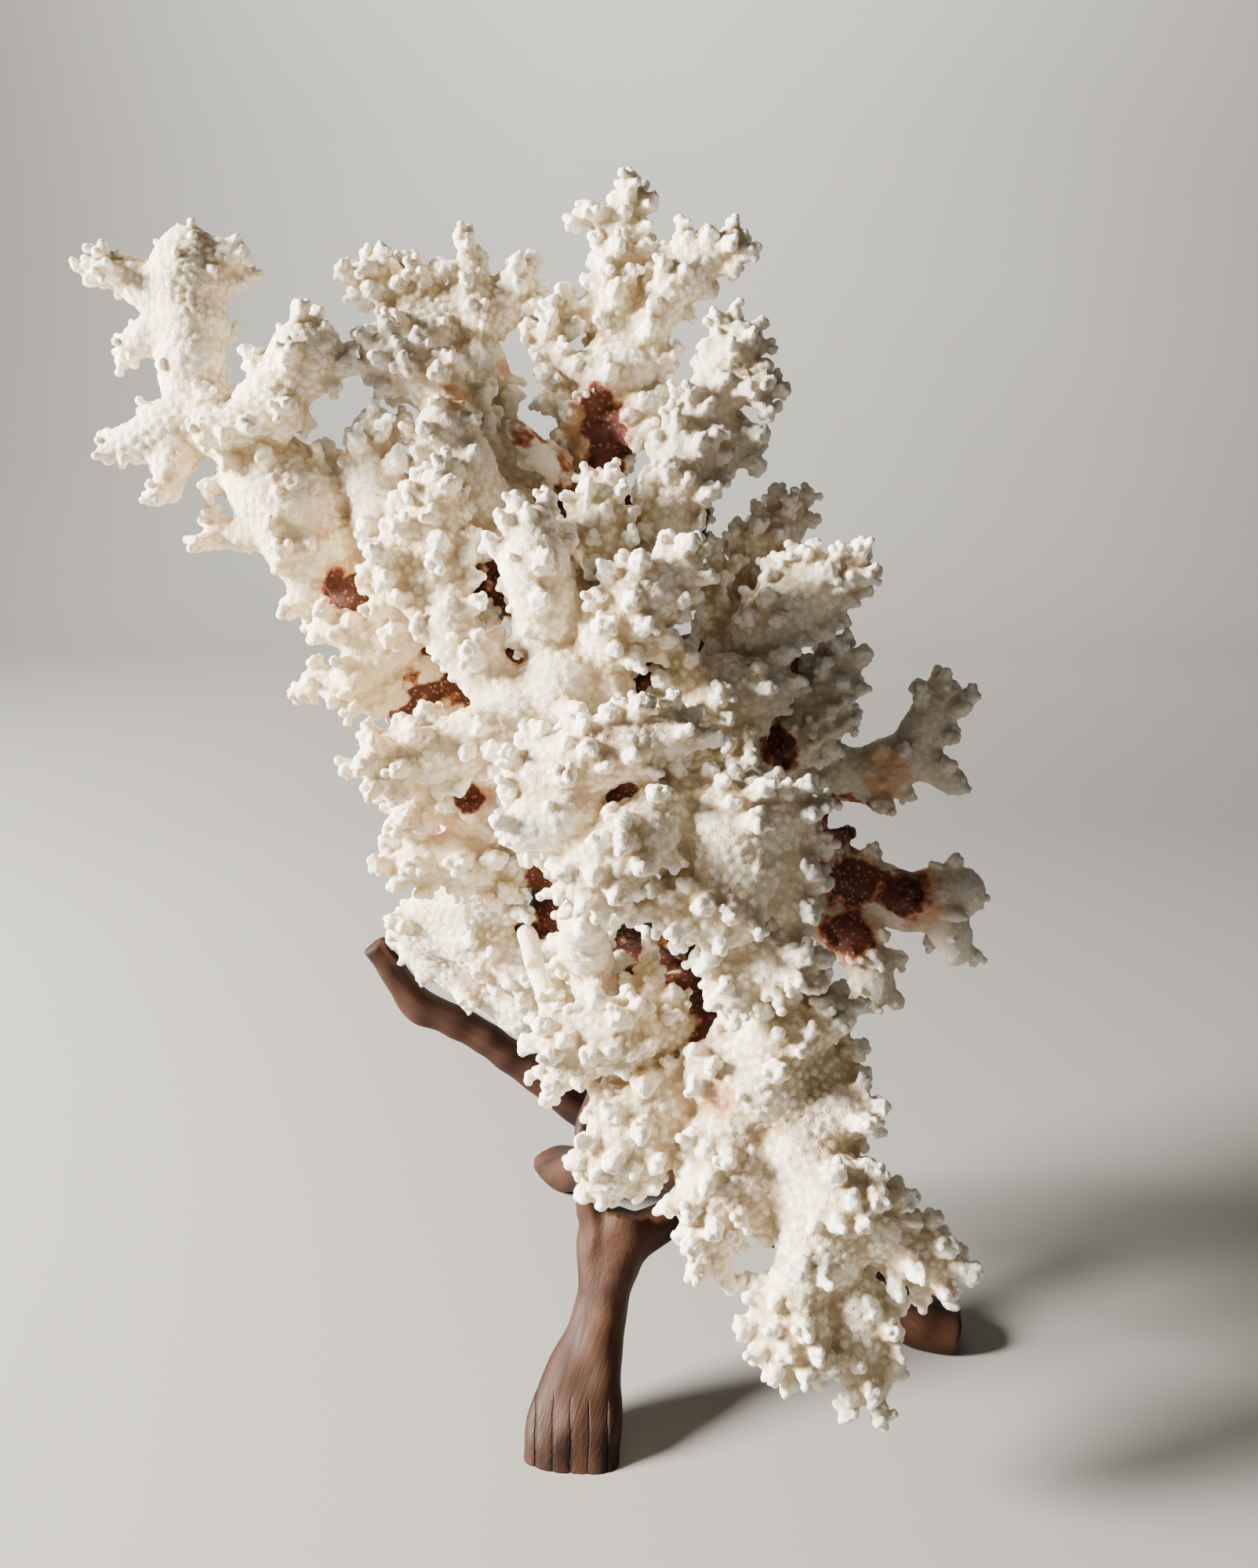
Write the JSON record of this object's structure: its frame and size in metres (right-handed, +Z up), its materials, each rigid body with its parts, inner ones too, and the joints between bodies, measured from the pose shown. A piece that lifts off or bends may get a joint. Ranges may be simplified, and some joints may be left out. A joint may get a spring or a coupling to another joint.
{
  "type": "branching coral on a wooden stand",
  "caption": "Branching piece of ivory lace coral with knobbly lobes and red-brown inner stems, resting on a carved, interlocked three-legged wooden stand.",
  "frame": {"origin": "on the ground under the middle of the whole piece", "axes": "+Z up; +X to the right and +Y away from the viewer as the piece is shown"},
  "size_m": [0.2304, 0.1546, 0.3075],
  "materials": {
    "ivory_coral": "matte, finely porous ivory coral",
    "red_brown_coral": "matte red-brown inner stems with tiny pale pores",
    "porous_coral": "rough, broken, porous grey-white coral",
    "carved_wood": "satin reddish-brown carved wood with darker grain"
  },
  "bodies": {
    "root": {"front_leg": "carved_wood", "right_leg": "carved_wood", "rear_leg": "carved_wood", "base_crust": "porous_coral", "left_trunk": "red_brown_coral", "middle_trunk": "red_brown_coral", "right_trunk": "red_brown_coral", "front_stem": "red_brown_coral", "upper_left_stem": "ivory_coral", "upper_left_crown": "ivory_coral", "upper_left_fork": "ivory_coral", "left_side_upper": "ivory_coral", "left_side_lower": "ivory_coral", "cream_lobe": "ivory_coral", "top_left_stem": "ivory_coral", "top_left_arm": "ivory_coral", "top_left_crest": "ivory_coral", "grey_lobe": "ivory_coral", "top_trunk": "ivory_coral", "top_spire": "ivory_coral", "top_fork": "ivory_coral", "thin_branch": "ivory_coral", "smooth_lobe": "ivory_coral", "upper_right_stem": "ivory_coral", "upper_right_crown": "ivory_coral", "right_back_lobe": "ivory_coral", "right_upper_branch": "ivory_coral", "right_mid_lobe": "ivory_coral", "right_high_arm": "ivory_coral", "right_arm": "ivory_coral", "right_low_blade": "ivory_coral", "broad_lobe": "ivory_coral", "tall_smooth_lobe": "ivory_coral", "spiky_cluster": "ivory_coral", "left_front_lobe": "ivory_coral", "star_hub": "ivory_coral", "star_left_arm": "ivory_coral", "centre_right_lobe": "ivory_coral", "left_low_upper_arm": "ivory_coral", "left_low_lower_arm": "ivory_coral", "front_crest_lobe": "ivory_coral", "bulb_lobe": "ivory_coral", "diagonal_lobe": "ivory_coral", "right_front_lobe": "ivory_coral", "right_front_low": "ivory_coral", "cream_stem": "ivory_coral", "thin_stems": "ivory_coral", "low_front_upper": "ivory_coral", "low_front_lower": "ivory_coral", "low_hub": "ivory_coral", "low_left_lobe": "ivory_coral", "low_right_lobe": "ivory_coral", "right_end": "ivory_coral", "bottom_left_tip": "ivory_coral", "bottom_right_tip": "ivory_coral", "back_left_branch": "ivory_coral", "back_middle_branch": "ivory_coral", "back_right_branch": "ivory_coral"}
  },
  "joints": []
}
